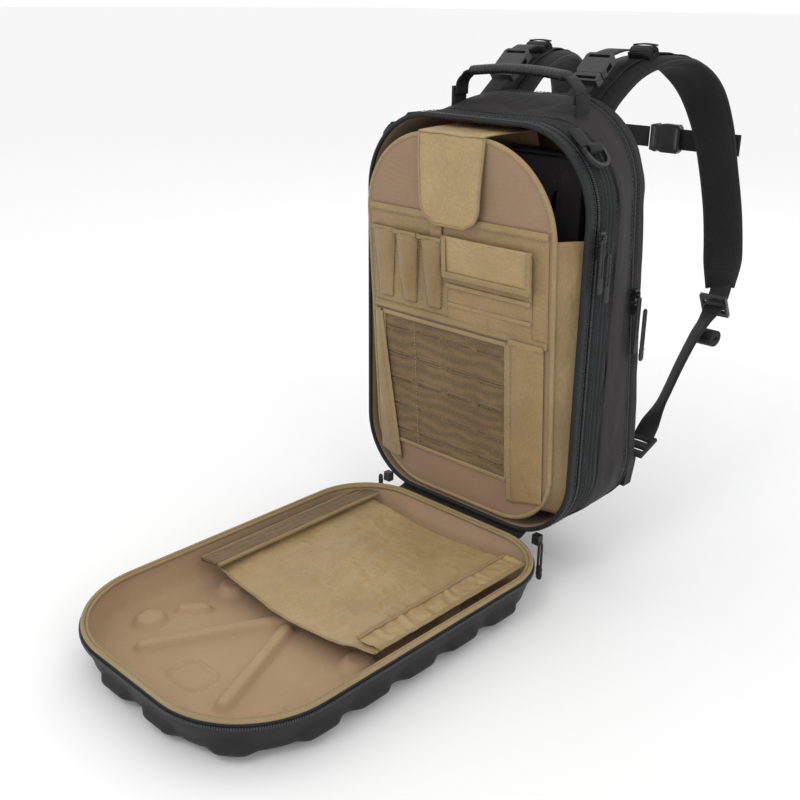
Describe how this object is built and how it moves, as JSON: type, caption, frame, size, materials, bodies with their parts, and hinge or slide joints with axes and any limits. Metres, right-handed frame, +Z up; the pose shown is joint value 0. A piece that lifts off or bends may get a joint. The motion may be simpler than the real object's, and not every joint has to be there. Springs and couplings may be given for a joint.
{
  "type": "trauma backpack",
  "caption": "Clamshell backpack standing open, with a moulded lid flat on the floor, a padded body, an organiser divider of slots and pockets, a top grip, shoulder straps and a sternum strap.",
  "frame": {"origin": "the middle of the lid's resting face, on the floor", "axes": "+Z up; +X across the pack; +Y from the lid towards the shoulder straps"},
  "size_m": [0.3294, 0.7875, 0.5613],
  "materials": {
    "black_fabric": "matte coated nylon weave",
    "black_mesh": "matte knitted spacer mesh",
    "black_webbing": "matte ribbed webbing",
    "black_moulded": "matte fabric over moulded foam",
    "tan_fabric": "satin coated nylon",
    "tan_loop": "brushed loop pile",
    "tan_moulded": "matte brushed lining",
    "black_plastic": "fine matte",
    "zipper_tape": "matte tape with a nylon coil",
    "grip_rubber": "matte moulded rubber",
    "pull_rubber": "cord with a matte moulded end",
    "black_metal": "satin black"
  },
  "bodies": {
    "pack": {"front_frame": "black_fabric", "front_piping": "tan_fabric", "side_zipper": "zipper_tape", "expansion_gusset": "black_fabric", "body_shell": "black_fabric", "body_liner": "tan_fabric", "rear_zipper": "zipper_tape", "back_shell": "black_fabric", "frame_sheet": "black_plastic", "back_pads": "black_mesh", "strap_yoke": "black_fabric", "padded_sleeve": "black_fabric", "sleeve_gussets": "tan_fabric", "tongue_strap": "tan_fabric", "top_tabs": "black_webbing", "shoulder_strap_right": "black_mesh", "shoulder_strap_left": "black_mesh", "lifter_webbing": "black_webbing", "lifter_buckles": "black_plastic", "lifter_latches": "black_plastic", "ladder_locks": "black_plastic", "lower_webbing": "black_webbing", "lower_tabs": "black_webbing", "lid_sliders": "black_metal"},
    "lid": {"lid_shell": "black_moulded", "lid_liner": "tan_moulded", "lid_piping": "tan_fabric", "lid_zipper": "zipper_tape", "lid_pocket": "tan_fabric", "lid_hook_strip": "tan_loop", "hinge_strip": "black_webbing"},
    "divider": {"divider_board": "tan_moulded", "divider_binding": "tan_fabric", "organiser_panel": "tan_fabric", "pen_sleeves": "tan_fabric", "flap_pocket": "tan_fabric", "slot_panel": "tan_loop", "tool_pocket": "tan_fabric", "slant_pocket": "tan_fabric"},
    "flap": {"pocket_flap": "tan_fabric"},
    "tongue": {"tongue_flap": "tan_fabric"},
    "handle": {"handle_webbing": "black_webbing", "handle_grip": "grip_rubber"},
    "ring_right": {"d_ring_right": "black_metal"},
    "ring_left": {"d_ring_left": "black_metal"},
    "sternum_strap": {"sternum_webbing": "black_webbing", "sternum_buckle": "black_plastic", "sternum_latch": "black_plastic", "sternum_sliders": "black_plastic"},
    "side_slider_upper_body": {"side_slider_upper": "black_metal"},
    "side_slider_lower_body": {"side_slider_lower": "black_metal"},
    "side_pull_upper_body": {"side_pull_upper": "pull_rubber"},
    "side_pull_lower_body": {"side_pull_lower": "pull_rubber"},
    "rear_slider_upper_body": {"rear_slider_upper": "black_metal"},
    "rear_slider_lower_body": {"rear_slider_lower": "black_metal"},
    "rear_pull_upper_body": {"rear_pull_upper": "pull_rubber"},
    "rear_pull_lower_body": {"rear_pull_lower": "pull_rubber"},
    "lid_pull_right_body": {"lid_pull_right": "pull_rubber"},
    "lid_pull_left_body": {"lid_pull_left": "pull_rubber"}
  },
  "joints": [
    {"name": "lid_hinge", "type": "hinge", "parent": "pack", "child": "lid", "pos_m": [0, 0.224, 0.052], "axis": [-1, 0, 0], "range_deg": [0, 90]},
    {"name": "divider_lean", "type": "hinge", "parent": "pack", "child": "divider", "pos_m": [0, 0.229, 0.065], "axis": [1, 0, 0], "range_deg": [-4, 0]},
    {"name": "pocket_flap_lift", "type": "hinge", "parent": "divider", "child": "flap", "pos_m": [0, 0.19597, 0.37395], "axis": [1, 0, 0], "range_deg": [-120, 0]},
    {"name": "tongue_lift", "type": "hinge", "parent": "pack", "child": "tongue", "pos_m": [0, 0.1965, 0.477], "axis": [1, 0, 0], "range_deg": [-120, 0]},
    {"name": "handle_swing", "type": "hinge", "parent": "pack", "child": "handle", "pos_m": [0, 0.299, 0.511], "axis": [1, 0, 0], "range_deg": [-50, 60]},
    {"name": "ring_right_swing", "type": "hinge", "parent": "pack", "child": "ring_right", "pos_m": [0.12847, 0.252, 0.47047], "axis": [0, -1, 0], "range_deg": [0, 110]},
    {"name": "ring_left_swing", "type": "hinge", "parent": "pack", "child": "ring_left", "pos_m": [-0.12847, 0.252, 0.47047], "axis": [0, 1, 0], "range_deg": [0, 110]},
    {"name": "sternum_height", "type": "slide", "parent": "pack", "child": "sternum_strap", "axis": [0, 0, 1], "range_m": [-0.02, 0.015]},
    {"name": "side_zip_upper", "type": "slide", "parent": "pack", "child": "side_slider_upper_body", "axis": [0, 0, 1], "range_m": [0, 0.012]},
    {"name": "side_zip_lower", "type": "slide", "parent": "pack", "child": "side_slider_lower_body", "axis": [0, 0, 1], "range_m": [-0.24, 0]},
    {"name": "side_pull_upper_swing", "type": "hinge", "parent": "side_slider_upper_body", "child": "side_pull_upper_body", "pos_m": [0.1598, 0.2405, 0.389], "axis": [0, -1, 0], "range_deg": [0, 150]},
    {"name": "side_pull_lower_swing", "type": "hinge", "parent": "side_slider_lower_body", "child": "side_pull_lower_body", "pos_m": [0.1598, 0.2405, 0.374], "axis": [0, -1, 0], "range_deg": [0, 150]},
    {"name": "rear_zip_upper", "type": "slide", "parent": "pack", "child": "rear_slider_upper_body", "axis": [-0.0628, 0, 0.998], "range_m": [0, 0.08]},
    {"name": "rear_zip_lower", "type": "slide", "parent": "pack", "child": "rear_slider_lower_body", "axis": [-0.0628, 0, 0.998], "range_m": [-0.16, 0]},
    {"name": "rear_pull_upper_swing", "type": "hinge", "parent": "rear_slider_upper_body", "child": "rear_pull_upper_body", "pos_m": [0.14872, 0.332, 0.313], "axis": [0, -1, 0], "range_deg": [0, 150]},
    {"name": "rear_pull_lower_swing", "type": "hinge", "parent": "rear_slider_lower_body", "child": "rear_pull_lower_body", "pos_m": [0.14966, 0.332, 0.298], "axis": [0, -1, 0], "range_deg": [0, 150]},
    {"name": "lid_pull_right_swing", "type": "hinge", "parent": "pack", "child": "lid_pull_right_body", "pos_m": [0.122, 0.2185, 0.055], "axis": [0, -1, 0], "range_deg": [0, 60]},
    {"name": "lid_pull_left_swing", "type": "hinge", "parent": "pack", "child": "lid_pull_left_body", "pos_m": [-0.122, 0.2185, 0.055], "axis": [0, 1, 0], "range_deg": [0, 60]}
  ],
  "couplings": [
    {"joint": "divider_lean", "follows": "lid_hinge", "ratio": -0.0444}
  ]
}
